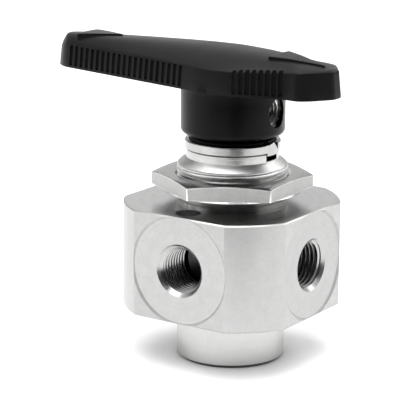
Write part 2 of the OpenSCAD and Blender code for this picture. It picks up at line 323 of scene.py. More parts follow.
def makeBody():
    body = millimetreCopy("valve_body", "valveBody")
    spec = bodyThreads["neck"]
    turn = Matrix.Rotation(math.radians(spec["phase"]), 4, "Z")
    neck = placed(helicalTool("neckCutter", spec), Matrix.Translation((0, 0, spec["bottom"])) @ turn)
    combine(body, [neck, portTool("cutX", 0), portTool("cutY", -90), portTool("cutDown", 0, down=True)])
    return finishPiece(body, "valve", ["valve_body"], sharp=22)


valveBody = makeBody()
print("body made")


# panel nut
nutSizes = {
    "bottom": 34.55,
    "seatHeight": 0.5,
    "hexHeight": 3.0,
    "acrossFlats": 28.2,
    "seatRadius": 14.0,
    "seatEdge": 0.08,
    "hexEdge": 0.05,
    "boreLead": 0.45,  # chamfer at the seat's end of the bore
    "boreChamfer": (0.6, 0.5),  # width and height at the top
    "topRadius": 13.8,  # where the top chamfer starts
    "cornerDrop": 0.55,
    "boreRadius": 11.16,
    "cornerRounding": 0.2,
    "blend": 0.1, "lip": 0.03,  # softness of the chamfer's two edges
    "sidePoints": 240,
    "thread": {"side": 1, "crest": 11.16, "depth": 0.4, "overrun": 0.1, "rootFlat": 0.1, "pitch": 0.8,
               "turns": 6.0, "steps": 120},
}


def rayLength(closed, angle):
    # how far a ray from the axis runs to a closed outline
    start, edge = closed[:-1], np.diff(closed, axis=0)
    dx, dy = math.cos(angle), math.sin(angle)
    cross = dx * edge[:, 1] - dy * edge[:, 0]
    cross[np.abs(cross) < 1e-9] = np.inf
    length = (start[:, 0] * edge[:, 1] - start[:, 1] * edge[:, 0]) / cross
    share = (start[:, 0] * dy - start[:, 1] * dx) / cross
    return length[np.argmax((length > 0) & (share >= -1e-6) & (share <= 1 + 1e-6))]


def makeNut():
    n = nutSizes
    corner = n["acrossFlats"] / 2 / math.cos(math.pi / 6)
    turns = [math.radians(30 + 60 * k) for k in range(6)]
    hexPoints = [(corner * math.cos(a), corner * math.sin(a)) for a in turns]
    rounded = filleted(hexPoints, [n["cornerRounding"] * 2] * 6, 5)
    angle = np.arctan2(rounded[:, 1], rounded[:, 0])
    rounded = rounded[np.argsort(angle)]
    even = np.linspace(-math.pi, math.pi, n["sidePoints"], endpoint=False)
    fine = np.unique(np.round(np.concatenate([np.sort(angle), even]), 6))
    closed = np.vstack([rounded, rounded[:1]])
    radius = np.array([rayLength(closed, a) for a in fine])
    z0 = n["bottom"]
    z1 = z0 + n["seatHeight"]
    top = z1 + n["hexHeight"]
    slope = n["cornerDrop"] / (corner - n["topRadius"])
    chamferZ = top - (radius - n["topRadius"]) * slope
    bore = n["boreRadius"]
    seat, seatEdge, hexEdge, blend, lip = n["seatRadius"], n["seatEdge"], n["hexEdge"], n["blend"], n["lip"]
    chamferWidth, chamferHeight = n["boreChamfer"]
    outline = [  # radius and height, from the bore's lower end outwards, up and back in
        (bore + n["boreLead"], z0), (seat - seatEdge, z0), (seat, z0 + seatEdge), (seat, z1),
        (radius - hexEdge, z1), (radius, z1 + hexEdge), (radius, chamferZ - blend),
        (radius - 0.02, chamferZ - lip), (radius - blend, chamferZ + blend * slope),
        (n["topRadius"] + 2 * lip, top - lip), (n["topRadius"] - blend, top),
        (bore + chamferWidth, top), (bore, top - chamferHeight), (bore, z0 + n["boreLead"]),
    ]
    verts = []
    for r, z in outline:
        verts += list(zip(r * np.cos(fine), r * np.sin(fine), np.broadcast_to(z, fine.shape)))
    faces = stripFaces(len(outline), len(fine), closed=True)
    nut = closedSolid("panelNut", verts, faces, 1e-4)
    spec = n["thread"]
    cutter = placed(helicalTool("nutCutter", spec), Matrix.Translation((0, 0, z0 - spec["pitch"])))
    combine(nut, [cutter])
    return finishPiece(nut, "nut", ["panel_nut"], sharp=24)


panelNut = makeNut()
print("nut made")


# handle
handleSizes = {
    "under": 55.4,  # height of the arms' underside
    "draft": 0.1,  # lean of the sides
    "outline": [  # x, half width and corner rounding of the underside
        (-41.95, 1.75, 0.7), (-39.4, 3.85, 1.4), (-28.8, 5.66, 3.0), (-11.7, 8.6, 2.5),
        (-5.8, 9.6, 2.5), (-1.8, 10.5, 2.2), (3.0, 10.55, 2.2), (7.2, 10.0, 2.5),
        (16.0, 6.85, 2.0), (18.9, 7.1, 0.9), (20.9, 5.5, 0.6), (23.85, 1.35, 0.5),
    ],
    # x and height of the crown's edge, then of its crest
    "edge": [(-42, 60.1), (-40, 60.4), (-37, 60.5), (-12.5, 60.4), (-6, 60.1), (0, 60.0),
             (6, 60.1), (12, 60.4), (16, 60.6), (20, 60.8), (24, 60.7)],
    "crest": [(-41, 61.7), (-39.3, 62.15), (-36.6, 62.4), (-27, 62.65), (-19, 63.0), (-12, 63.25),
              (-6, 63.38), (0, 63.35), (6, 63.0), (10, 62.65), (14, 62.3), (19, 61.6), (21.5, 61.15), (23, 60.95)],
    "squareness": [(-42, 3.4), (-30, 3.0), (-18, 2.5), (24, 2.4)],  # x, and how flat the crown is there
    "spineFrom": -39.3, "spineTo": 21.8,
    "edgeRounding": 0.32, "endRounding": 1.1, "lowerRounding": 0.22,
    "endFrom": 0.4, "endLength": 1.6,  # where the tail's rounding takes over, from the spine's end
    "planPoints": 880, "crownRows": 15,
    "hub": [  # radius, height and corner rounding
        (0, 43.15, 0), (8.5, 43.15, 0.15), (8.5, 45.3, 0.2), (10.4, 46.45, 0.7), (10.4, 53.9, 1.5),
        (10.54, 55.9, 0.3), (0, 56.4, 0),
    ],
}


def valueAt(table, x):
    pts = np.array(table, float)
    return np.interp(x, pts[:, 0], pts[:, 1])


def crownHeight(x, y):
    h = handleSizes
    edge, crest = valueAt(h["edge"], x), valueAt(h["crest"], x)
    half = valueAt(h["outline"], x) - h["draft"] * (edge - h["under"])
    return crest - (crest - edge) * np.clip(np.abs(y / half), 0, 1) ** valueAt(h["squareness"], x)


def resampled(points, count):
    closed = np.vstack([points, points[:1]])
    length = np.concatenate([[0], np.cumsum(np.linalg.norm(np.diff(closed, axis=0), axis=1))])
    at = np.linspace(0, length[-1], count, endpoint=False)
    return np.stack([np.interp(at, length, closed[:, 0]), np.interp(at, length, closed[:, 1])], 1)


def makeArms():
    h = handleSizes
    side = h["outline"]
    loop = [(x, -w, r) for x, w, r in side] + side[::-1]
    plan = filleted([(x, y) for x, y, r in loop], [r * 1.2 for x, y, r in loop], 7)
    plan = resampled(plan, h["planPoints"])
    half = plan[plan[:, 1] < -1e-6]
    half = half[np.argsort(np.arctan2(half[:, 1], half[:, 0]))]
    plan = np.vstack([half, half[::-1] * [1, -1]])  # the two sides match exactly
    along = np.roll(plan, -1, 0) - np.roll(plan, 1, 0)
    along /= np.linalg.norm(along, axis=1)[:, None]
    inward = np.stack([-along[:, 1], along[:, 0]], 1)
    spine = np.stack([np.clip(plan[:, 0], h["spineFrom"], h["spineTo"]), np.zeros(len(plan))], 1)
    edge = valueAt(h["edge"], plan[:, 0])
    crest = valueAt(h["crest"], spine[:, 0])
    under = h["under"]
    top = plan + inward * (h["draft"] * (edge - under))[:, None]
    run = spine - top
    reach = np.linalg.norm(run, axis=1)
    end = np.clip((h["spineFrom"] + h["endFrom"] - plan[:, 0]) / h["endLength"], 0, 1)
    bend = h["edgeRounding"] * (1 - end) + h["endRounding"] * end
    square = valueAt(h["squareness"], plan[:, 0])

    def crown(t):
        f = 1 - (1 - t) ** square
        return np.column_stack([top + run * t[:, None], edge + (crest - edge) * f])

    def wall(z):
        return np.column_stack([plan + inward * (h["draft"] * (z - under))[:, None], z])

    low = h["lowerRounding"]
    ones = np.ones(len(plan))
    rows = [np.column_stack([plan + (spine - plan) * t, ones * under]) for t in (1.0, 0.5, 0.12)]
    a, b = np.column_stack([plan + inward * low, ones * under]), np.column_stack([plan, ones * under])
    rows += [curved(a, b, wall(ones * (under + low)), s) for s in (0.0, 0.3, 0.6, 1.0)]
    rows += [wall(under + low + (edge - bend - under - low) * share) for share in (0.33, 0.66)]
    a, b, c = wall(edge - bend), wall(edge), crown(bend / reach)
    rows += [curved(a, b, c, s) for s in np.linspace(0, 1, 6)]
    for share in np.linspace(0, 1, h["crownRows"])[1:]:
        rows.append(crown(bend / reach + (1 - bend / reach) * share))
    return closedSolid("handleGrip", np.vstack(rows), stripFaces(len(rows), len(plan)), 2e-4)


arrowSizes = {
    "raise": 0.3,
    "flatness": 0.5,  # share of the crown's roundness that the top keeps
    "sink": 0.4,
    "rounding": 0.08,
    "arrows": [  # base x, tip x, half width, corner rounding
        (-35.9, -26.8, 3.6, 0.2), (10.3, 21.0, 3.9, 0.2),
    ],
}


def makeArrow(name, baseX, tipX, halfWidth, corner):
    a = arrowSizes
    outline = resampled(filleted([(baseX, -halfWidth), (tipX, 0), (baseX, halfWidth)], [corner] * 3, 6), 150)
    centre = np.array([baseX + (tipX - baseX) / 3, 0.0])
    size = np.linalg.norm(outline - centre, axis=1).min()

    def row(share, lift):
        p = outline + (centre - outline) * share
        across = p[:, 1] if lift < 0 else p[:, 1] * a["flatness"]
        return np.column_stack([p, crownHeight(p[:, 0], across) + lift])

    step, rounding, top = a["rounding"] / size, a["rounding"], a["raise"]
    rows = [row(0.999, -a["sink"]), row(0, -a["sink"]), row(0, top - rounding)]
    rows += [row(step * 0.3, top - rounding * 0.35), row(step, top)]
    rows += [row(step + (1 - step) * share, top) for share in np.linspace(0, 1, 10)[1:-1]]
    rows.append(row(0.999, top))
    count = len(outline)
    ends = [tuple(range(count))[::-1], tuple((len(rows) - 1) * count + i for i in range(count))]
    return closedSolid(name, np.vstack(rows), ends + stripFaces(len(rows), count), 1e-5)


grooveSizes = {
    "width": 0.94,
    "depth": 0.55,
    "fromUnder": 0.55,
    "corner": 0.42,
    "standOut": 1.0,  # how far a cutter stands out of the side
    "tail": {"count": 21, "start": (-37.2, 4.17), "end": (-6.6, 9.42), "top": 60.1},
    "pointer": {"count": 8, "start": (6.5, 10.1), "end": (15.2, 7.05), "top": 61.2},
}


def grooveTree():
    tree, given = geometryTree("sideGrooves", [
        ("Count", "Int", 8), ("Start", "Vector", (0, 0, 0)), ("End", "Vector", (10, 0, 0)),
        ("Height", "Float", 4.0), ("Width", "Float", 0.9), ("Depth", "Float", 1.0), ("Corner", "Float", 0.2),
        ("Turn", "Vector", (0, 0, 0)),
    ])
    add = tree.nodes.new
    row, up = add("GeometryNodeMeshLine"), add("ShaderNodeCombineXYZ")
    upright = add("GeometryNodeCurvePrimitiveLine")
    section, fillet = add("GeometryNodeCurvePrimitiveQuadrilateral"), add("GeometryNodeFilletCurve")
    sweep, copies = add("GeometryNodeCurveToMesh"), add("GeometryNodeInstanceOnPoints")
    row.mode = "END_POINTS"
    fillet.mode = "POLY"
    next(i for i in fillet.inputs if i.type == "INT").default_value = 3
    wire(tree, given, [
        ("Count", row, "Count"), ("Start", row, "Start Location"), ("End", row, "Offset"),
        ("Height", up, "Z"), (up, upright, "End"), ("Width", section, "Width"), ("Depth", section, "Height"),
        (section, fillet, "Curve"), ("Corner", fillet, "Radius"), (upright, sweep, "Curve"),
        (fillet, sweep, "Profile Curve"), (row, copies, "Points"), (sweep, copies, "Instance"),
        ("Turn", copies, "Rotation"),
    ])
    return closeTree(tree, given, sweep, copies)


sideGrooves = grooveTree()


def grooveTool(name, row, side):
    g, h = grooveSizes, handleSizes
    (x0, y0), (x1, y1) = row["start"], row["end"]
    plan = math.atan2(y1 - y0, x1 - x0)
    bottom = h["under"] + g["fromUnder"]
    lean = math.atan(h["draft"])
    inset = h["draft"] * g["fromUnder"]
    out = (g["standOut"] - g["depth"]) / 2
    obj = treeMesh(name, sideGrooves, {
        "Count": row["count"],
        "Start": (x0, side * (y0 + out - inset), bottom),
        "End": (x1, side * (y1 + out - inset), bottom),
        "Height": row["top"] - bottom,
        "Width": g["width"],
        "Depth": g["standOut"] + g["depth"],
        "Corner": g["corner"],
        "Turn": (side * lean, 0.0, side * plan),
    })
    cleaned(obj.data, 1e-5, recalc=True)
    return obj


def box(name, low, high):
    corners = [[(low, high)[(k >> axis) & 1][axis] for axis in range(3)] for k in range(8)]
    faces = [(0, 2, 3, 1), (4, 5, 7, 6), (0, 1, 5, 4), (2, 6, 7, 3), (0, 4, 6, 2), (1, 3, 7, 5)]
    return newObject(name, meshFrom(name, corners, faces))


socketSizes = {
    "insertBottom": 46.85, "insertRadius": 5.21, "insertTop": 56.8, "bossRadius": 3.61, "bossEnd": 9.3,
    "screwHeight": 51.0, "screwHole": 2.7, "holeWidening": 0.25, "wideningFrom": 9.95, "wideningTo": 10.45,
    "mouth": 6.4, "pinAt": -8.7, "pinRadius": 0.8, "pinTop": 49.11,
    "below": 42,  # a height clear of the hub's lower end
    "clear": 12,  # a distance clear of the hub's side
}
pocketSizes = {  # cut up into the arms from below
    "count": 5, "firstX": -37.5, "stepX": 5.2, "length": 4.2, "firstHalf": 1.9, "stepHalf": 0.95, "depth": 4,
    "frontX": (12.6, 17.6), "frontHalf": 4.4, "frontDepth": 3,
}


def rod(name, radius, length, steps, matrix):
    return placed(lathe(name, [(0, 0), (radius, 0), (radius, length), (0, length)], steps), matrix)


def pocket(name, x0, x1, half, depth):
    under = handleSizes["under"]
    return box(name, (x0, -half, under - 1), (x1, half, under + depth))


def makeHandle():
    h, s, p = handleSizes, socketSizes, pocketSizes
    grip = makeArms()
    hubOutline = filleted([(r, z) for r, z, c in h["hub"]], [c for r, z, c in h["hub"]], 5)
    hub = lathe("hub", hubOutline, 160)
    arrows = [makeArrow(f"arrow{k}", *a) for k, a in enumerate(arrowSizes["arrows"])]
    combine(grip, [hub] + arrows, "UNION")
    tools = [grooveTool(f"groove{k}{i}", grooveSizes[k], side)
             for k in ("tail", "pointer") for i, side in ((0, -1), (1, 1))]
    for i in range(p["count"]):
        x = p["firstX"] + i * p["stepX"]
        tools.append(pocket(f"pocket{i}", x, x + p["length"], p["firstHalf"] + i * p["stepHalf"], p["depth"]))
    tools.append(pocket("pocketFront", *p["frontX"], p["frontHalf"], p["frontDepth"]))
    insertBottom, below, lay = s["insertBottom"], s["below"], sideways(s["screwHeight"])
    fromBelow = Matrix.Translation((0, 0, below))
    tools.append(rod("insertCut", s["insertRadius"], s["insertTop"] - insertBottom, 96,
                     Matrix.Translation((0, 0, insertBottom))))
    tools.append(rod("mouthCut", s["mouth"], insertBottom - below, 96, fromBelow))
    tools.append(rod("bossCut", s["bossRadius"], s["bossEnd"], 72, lay))
    hole, wide, clear = s["screwHole"], s["screwHole"] + s["holeWidening"], s["clear"]
    holeOutline = [(0, 0), (hole, 0), (hole, s["wideningFrom"]), (wide, s["wideningTo"]), (wide, clear),
                   (0, clear)]
    tools.append(placed(lathe("screwCut", holeOutline, 72), lay))
    pinPlace = Matrix.Translation((s["pinAt"], 0, below))
    tools.append(rod("pinCut", s["pinRadius"], s["pinTop"] - below, 32, pinPlace))
    combine(grip, tools)
    return finishPiece(grip, "handle_and_stem", ["handle"], sharp=30)


handleGrip = makeHandle()
print("handle made")


# tapped insert
insertThread = {"side": 1, "crest": 2.4, "depth": 0.42, "overrun": 0.08, "rootFlat": 0.08, "pitch": 0.8,
                "turns": 8.0, "steps": 60, "from": 3.2}


def makeInsert():
    insert = millimetreCopy("handle_insert", "tappedInsert")
    start = Matrix.Translation((0, 0, insertThread["from"]))
    cutter = placed(helicalTool("insertCutter", insertThread), sideways(socketSizes["screwHeight"]) @ start)
    combine(insert, [cutter])
    return finishPiece(insert, "handle_and_stem", ["handle_insert"], sharp=26)


tappedInsert = makeInsert()
print("insert made")


# shared shader effects
def shaderGroup(name, inputs, outputs):
    group = bpy.data.node_groups.new(name, "ShaderNodeTree")
    for label, kind, value in inputs:
        made = group.interface.new_socket(label, in_out="INPUT", socket_type="NodeSocket" + kind)
        made.default_value = value
    for label in outputs:
        group.interface.new_socket(label, in_out="OUTPUT", socket_type="NodeSocketFloat")
    return group, group.nodes.new("NodeGroupInput").outputs, group.nodes.new("NodeGroupOutput").inputs


def feed(tree, value, socket):
    # a number or a colour is set, and an output is linked
    if isinstance(value, bpy.types.NodeSocket):
        tree.links.new(value, socket)
    elif isinstance(value, (tuple, list)) and socket.type == "RGBA":
        socket.default_value = (*value[:3], 1.0)
    else:
        socket.default_value = value


def mathNode(tree, operation, *values, clamp=False):
    made = tree.nodes.new("ShaderNodeMath")
    made.operation = operation
    made.use_clamp = clamp
    for socket, value in zip(made.inputs, values):
        feed(tree, value, socket)
    return made.outputs[0]


def centredNode(tree, value, factor, base, middle=0.5, clamp=False):
    # base + (value - middle) * factor
    centred = mathNode(tree, "SUBTRACT", value, middle)
    return mathNode(tree, "MULTIPLY_ADD", centred, factor, base, clamp=clamp)


def rangeNode(tree, value, low, high, toLow, toHigh):
    made = tree.nodes.new("ShaderNodeMapRange")
    given = {"Value": value, "From Min": low, "From Max": high, "To Min": toLow, "To Max": toHigh}
    for label, source in given.items():
        feed(tree, source, made.inputs[label])
    return made.outputs["Result"]


def noiseNode(tree, place, scale, detail, oneWay=False):
    # oneWay reads a single number in place of a position
    made = tree.nodes.new("ShaderNodeTexNoise")
    if oneWay:
        made.noise_dimensions = "1D"
    feed(tree, place, made.inputs["W" if oneWay else "Vector"])
    feed(tree, scale, made.inputs["Scale"])
    made.inputs["Detail"].default_value = detail
    return made


def dotNode(tree, first, second):
    made = tree.nodes.new("ShaderNodeVectorMath")
    made.operation = "DOT_PRODUCT"
    feed(tree, first, made.inputs[0])
    feed(tree, second, made.inputs[1])
    return made.outputs["Value"]


def splitNode(tree, place):
    made = tree.nodes.new("ShaderNodeSeparateXYZ")
    tree.links.new(place, made.inputs[0])
    return made.outputs


def toolMarksGroup():
    # fine lines left by a cutting tool: Across runs over the lines, in millimetres
    tree, given, out = shaderGroup("toolMarks", [
        ("Across", "Float", 0.0), ("Vector", "Vector", (0, 0, 0)), ("Spacing", "Float", 0.12),
        ("Breakup", "Float", 0.4),
    ], ["Lines", "Bands"])
    across = mathNode(tree, "DIVIDE", given["Across"], given["Spacing"])
    fine = noiseNode(tree, across, 1.0, 3.0, oneWay=True)
    fine.inputs["Roughness"].default_value = 0.65
    broad = noiseNode(tree, across, 0.16, 2.0, oneWay=True)
    patch = noiseNode(tree, given["Vector"], 260.0, 3.0)
    weight = centredNode(tree, patch.outputs["Fac"], mathNode(tree, "MULTIPLY", given["Breakup"], 3.0), 1.0)
    feed(tree, centredNode(tree, fine.outputs["Fac"], weight, 0.5, clamp=True), out["Lines"])
    feed(tree, centredNode(tree, broad.outputs["Fac"], 1.6, 0.5, clamp=True), out["Bands"])
    return tree


def surfaceGrainGroup():
    tree, given, out = shaderGroup("surfaceGrain", [
        ("Vector", "Vector", (0, 0, 0)), ("Scale", "Float", 3000.0), ("Cloud Scale", "Float", 120.0),
    ], ["Grain", "Cloud", "Specks"])
    for label, scale, detail in (("Grain", "Scale", 2.0), ("Cloud", "Cloud Scale", 4.0)):
        feed(tree, noiseNode(tree, given["Vector"], given[scale], detail).outputs["Fac"], out[label])
    pits = tree.nodes.new("ShaderNodeTexVoronoi")
    feed(tree, given["Vector"], pits.inputs["Vector"])
    feed(tree, mathNode(tree, "MULTIPLY", given["Scale"], 0.35), pits.inputs["Scale"])
    feed(tree, rangeNode(tree, pits.outputs["Distance"], 0.0, 0.22, 1.0, 0.0), out["Specks"])
    return tree


def edgeWearAndGlintGroup():
    # brighter edges: partly rubbed wear, partly a painted glint and sheen
    tree, given, out = shaderGroup("edgeWearAndGlint", [
        ("Vector", "Vector", (0, 0, 0)), ("Radius", "Float", 0.0003), ("Amount", "Float", 1.0),
    ], ["Edge"])
    soft = tree.nodes.new("ShaderNodeBevel")
    soft.samples = 6
    feed(tree, given["Radius"], soft.inputs["Radius"])
    normal = tree.nodes.new("ShaderNodeNewGeometry").outputs["Normal"]
    mask = rangeNode(tree, dotNode(tree, soft.outputs[0], normal), 0.995, 0.86, 0.0, 1.0)
    noise = noiseNode(tree, given["Vector"], 900.0, 3.0)
    uneven = rangeNode(tree, noise.outputs["Fac"], 0.3, 0.65, 0.45, 1.0)
    worn = mathNode(tree, "MULTIPLY", mask, uneven)
    feed(tree, mathNode(tree, "MULTIPLY", worn, given["Amount"], clamp=True), out["Edge"])
    return tree


toolMarks, surfaceGrain, edgeWearAndGlint = toolMarksGroup(), surfaceGrainGroup(), edgeWearAndGlintGroup()


def useGroup(tree, group, **values):
    made = tree.nodes.new("ShaderNodeGroup")
    made.node_tree = group
    for label, value in values.items():
        feed(tree, value, made.inputs[label.replace("_", " ")])
    return made.outputs


def startMaterial(name, constants):
    material = bpy.data.materials.new(name)
    material.use_nodes = True
    tree = material.node_tree
    shader = tree.nodes["Principled BSDF"]
    for label, value in constants.items():
        shader.inputs[label].default_value = value
    place = tree.nodes.new("ShaderNodeTexCoord").outputs["Object"]
    return material, tree, shader, place


def mixColour(tree, factor, low, high):
    made = tree.nodes.new("ShaderNodeMix")
    made.data_type = "RGBA"
    tree.links.new(factor, made.inputs["Factor"])
    for socket, value in zip([s for s in made.inputs if s.type == "RGBA"], (low, high)):
        feed(tree, value, socket)
    return next(s for s in made.outputs if s.type == "RGBA")


def bumpNormal(tree, height, strength, distance, under=None):
    made = tree.nodes.new("ShaderNodeBump")
    made.inputs["Strength"].default_value = strength
    made.inputs["Distance"].default_value = distance
    tree.links.new(height, made.inputs["Height"])
    if under is not None:
        tree.links.new(under, made.inputs["Normal"])
    return made.outputs["Normal"]


def acrossLines(tree, place, kind):
    # distance over the marks in millimetres, for turning round an axis or for straight milling
    x, y, z = splitNode(tree, place)
    if kind == "height":
        return mathNode(tree, "MULTIPLY", z, 1 / mm)
    if kind == "angle":  # round the axis, at the bar's own radius
        return mathNode(tree, "MULTIPLY", mathNode(tree, "ARCTAN2", y, x), valveSizes["barRadius"])
    if kind == "radius":
        a, b = x, y
    else:
        a = y if kind == "portX" else x
        b = mathNode(tree, "SUBTRACT", z, valveSizes["portHeight"] * mm)
    square = mathNode(tree, "ADD", mathNode(tree, "MULTIPLY", a, a), mathNode(tree, "MULTIPLY", b, b))
    return mathNode(tree, "MULTIPLY", mathNode(tree, "SQRT", square), 1 / mm)


steelDefaults = {  # across and spacing place the tool marks, marks is how strong they are
    "across": "height", "marks": 0.05, "metallic": 1.0, "anisotropic": 0.0, "breakup": 0.4,
    "edge": 0.6, "edgeWidth": 0.00016, "worn": 1.18, "contrast": 0.08, "roughSpread": 0.08,
    "grain": 0.06, "grainScale": 5200.0, "cloudScale": 150.0,
    "mottle": 1.2, "mottleScale": 1500.0, "mottleCloud": 520.0, "marksDepth": 0.00005, "grainDepth": 0.00004,
}


def machinedSteel(name, spec):
    material, tree, shader, place = startMaterial(name, {
        "Metallic": spec["metallic"], "Anisotropic": spec["anisotropic"], "Specular IOR Level": 0.5,
    })
    across = acrossLines(tree, place, spec["across"])
    marks = useGroup(tree, toolMarks, Across=across, Vector=place,
                     Spacing=spec["spacing"], Breakup=spec["breakup"])
    grain = useGroup(tree, surfaceGrain, Vector=place,
                     Scale=spec["grainScale"], Cloud_Scale=spec["cloudScale"])
    edge = useGroup(tree, edgeWearAndGlint, Vector=place, Radius=spec["edgeWidth"], Amount=spec["edge"])
    mottle = useGroup(tree, surfaceGrain, Vector=place,
                      Scale=spec["mottleScale"], Cloud_Scale=spec["mottleCloud"])
    tone = centredNode(tree, marks["Bands"], 0.5, mathNode(tree, "MULTIPLY_ADD", grain["Cloud"], 0.6, 0.2))
    speckle = mathNode(tree, "ADD", mottle["Grain"], mottle["Cloud"])
    tone = centredNode(tree, speckle, spec["mottle"], tone, middle=1.0, clamp=True)

    def scaled(factor):
        return tuple(min(1.0, c * factor) for c in spec["colour"])

    clean = mixColour(tree, tone, scaled(1 - spec["contrast"]), scaled(1 + spec["contrast"]))
    # edges are painted brighter: rubbed wear and a painted glint
    feed(tree, mixColour(tree, edge["Edge"], clean, scaled(spec["worn"])), shader.inputs["Base Color"])
    rough, spread = spec["rough"], spec["roughSpread"]
    lined = rangeNode(tree, marks["Lines"], 0.0, 1.0, rough - spread, rough + spread)
    feed(tree, centredNode(tree, grain["Cloud"], 0.12, lined, clamp=True), shader.inputs["Roughness"])
    grained = bumpNormal(tree, grain["Grain"], spec["grain"], spec["grainDepth"])
    lines = bumpNormal(tree, marks["Lines"], spec["marks"], spec["marksDepth"], grained)
    feed(tree, lines, shader.inputs["Normal"])
    if spec["anisotropic"]:
        tangent = tree.nodes.new("ShaderNodeTangent")
        tangent.direction_type = "RADIAL"
        tangent.axis = "Z"
        tree.links.new(tangent.outputs[0], shader.inputs["Tangent"])
    return material


def look(colour, rough, spacing, **others):
    return {**steelDefaults, "colour": colour, "rough": rough, "spacing": spacing, **others}


steelLooks = {  # colour, roughness, spacing of the tool marks, then what differs from the defaults
    "bodyTurned": look((0.44, 0.44, 0.437), 0.36, 1.1, across="angle", marks=0.03, anisotropic=0.3,
                       contrast=0.06, roughSpread=0.03),
    "bodyFlat": look((0.452, 0.452, 0.449), 0.4, 0.3, marks=0.03, breakup=0.8, contrast=0.07,
                     roughSpread=0.03),
    # painted shade: the +X faced circle is darker than the -Y one
    "bodyFacedXPaintedShade": look((0.42, 0.42, 0.417), 0.38, 0.22, across="portX", marks=0.03, contrast=0.07,
                       roughSpread=0.03),
    "bodyFacedY": look((0.458, 0.458, 0.455), 0.38, 0.22, across="portY", marks=0.03, contrast=0.07,
                       roughSpread=0.03),
    "bodyTop": look((0.56, 0.56, 0.555), 0.21, 0.2, across="radius", marks=0.015, contrast=0.05,
                    roughSpread=0.03),
    "neckTurned": look((0.46, 0.46, 0.455), 0.26, 0.13, marks=0.2, anisotropic=0.6),
    "threadCut": look((0.68, 0.68, 0.675), 0.24, 0.1, marks=0.08, edge=0.8),
    # the nut's edges are painted near-white: rubbed wear and a painted glint
    "nutSide": look((0.53, 0.53, 0.525), 0.6, 0.25, metallic=0.7, marks=0.04, breakup=1.0, grain=0.12,
                    edge=1.0, worn=1.9, edgeWidth=0.0005),
    # painted shade: the nut's underside is made dark
    "nutUnderPaintedShade": look((0.15, 0.15, 0.148), 0.35, 0.2, across="radius"),
    # the nut's corners are polished and painted near-white: rubbed wear and a painted glint
    "nutCornerWornAndGlint": look((0.97, 0.97, 0.96), 0.3, 0.12, marks=0.03, edge=0.0),
    "nutTop": look((0.42, 0.42, 0.415), 0.24, 0.2, across="radius", marks=0.1, anisotropic=0.3),
    "nutSeat": look((0.72, 0.72, 0.71), 0.12, 0.12),
    "ringTurned": look((0.42, 0.42, 0.415), 0.22, 0.14, marks=0.15, anisotropic=0.5),
    "innerTurned": look((0.72, 0.72, 0.71), 0.25, 0.15, across="radius", marks=0.1),
    # painted light: the turned finish made lighter on the stub than on the sides
    "stubTurnedPaintedLight": look((0.54, 0.54, 0.535), 0.36, 0.16, anisotropic=0.4, contrast=0.03, roughSpread=0.03),
    # painted shade: near-black for the deep ends of the ports, the body's hollow and the stub's end chamfer
    "paintedDeepShade": look((0.08, 0.08, 0.08), 0.4, 0.2, edge=0.0),
    # painted shade: the neck's thread below the nut, darker than threadCut
    "threadShade": look((0.6, 0.6, 0.595), 0.3, 0.1, marks=0.08, edge=0.4),
    "coneTurned": look((0.5, 0.5, 0.495), 0.36, 0.13, marks=0.15, anisotropic=0.4),
    "holeDrilled": look((0.97, 0.97, 0.96), 0.17, 0.3, roughSpread=0.03),
    "portThread": look((0.52, 0.52, 0.515), 0.2, 0.1, across="radius", edge=0.8),
    "portRim": look((0.42, 0.42, 0.415), 0.27, 0.1, across="radius"),
    "spotWall": look((0.5, 0.5, 0.496), 0.7, 0.2, metallic=0.85, marks=0.03, edge=0.0),
    "blackOxide": look((0.03, 0.03, 0.032), 0.35, 0.2),
    "insertMetal": look((0.97, 0.95, 0.92), 0.26, 0.12, across="radius", marks=0.08, edge=0.8),
}
steel = {name: machinedSteel(name, spec) for name, spec in steelLooks.items()}

nylonLook = {
    "colour": (0.005, 0.005, 0.0052), "wearAndSheen": (0.016, 0.016, 0.0165), "specular": 0.11,
    "hubPaintedShade": (0.0004, 0.0004, 0.0004), "hubFrom": 54.6, "hubTo": 56.2,  # the hub is painted darker below the arms, as their shade
    "rough": 0.3, "grainScale": 5200.0, "cloudScale": 90.0, "edgeWidth": 0.00022, "edge": 0.5,
}


def mouldedNylon():
    n = nylonLook
    constants = {"Metallic": 0.0, "Specular IOR Level": n["specular"]}
    material, tree, shader, place = startMaterial("blackNylon", constants)
    grain = useGroup(tree, surfaceGrain, Vector=place, Scale=n["grainScale"], Cloud_Scale=n["cloudScale"])
    edge = useGroup(tree, edgeWearAndGlint, Vector=place, Radius=n["edgeWidth"], Amount=n["edge"])["Edge"]
    above = rangeNode(tree, splitNode(tree, place)["Z"], n["hubFrom"] * mm, n["hubTo"] * mm, 0.0, 1.0)
    mottled = mixColour(tree, grain["Cloud"], n["colour"], tuple(c * 1.5 for c in n["colour"]))
    # edges are painted lighter: rubbed wear and a painted sheen
    worn = mixColour(tree, edge, mottled, n["wearAndSheen"])
    # below the arms the hub is painted near-black as shade
    feed(tree, mixColour(tree, above, n["hubPaintedShade"], worn), shader.inputs["Base Color"])
    rough = rangeNode(tree, grain["Cloud"], 0.25, 0.75, n["rough"] - 0.05, n["rough"] + 0.06)
    feed(tree, mathNode(tree, "MULTIPLY_ADD", edge, -0.1, rough, clamp=True), shader.inputs["Roughness"])
    pitted = bumpNormal(tree, grain["Specks"], 0.12, 0.00003)
    feed(tree, bumpNormal(tree, grain["Grain"], 0.3, 0.00004, pitted), shader.inputs["Normal"])
    return material


plasticLooks = {
    "whitePtfe": {"colour": (0.82, 0.82, 0.8), "shade": (0.7, 0.7, 0.67), "rough": 0.38, "sub": 0.15},
    "tanPeek": {"colour": (0.5, 0.38, 0.22), "shade": (0.42, 0.31, 0.17), "rough": 0.42, "sub": 0.0},
}


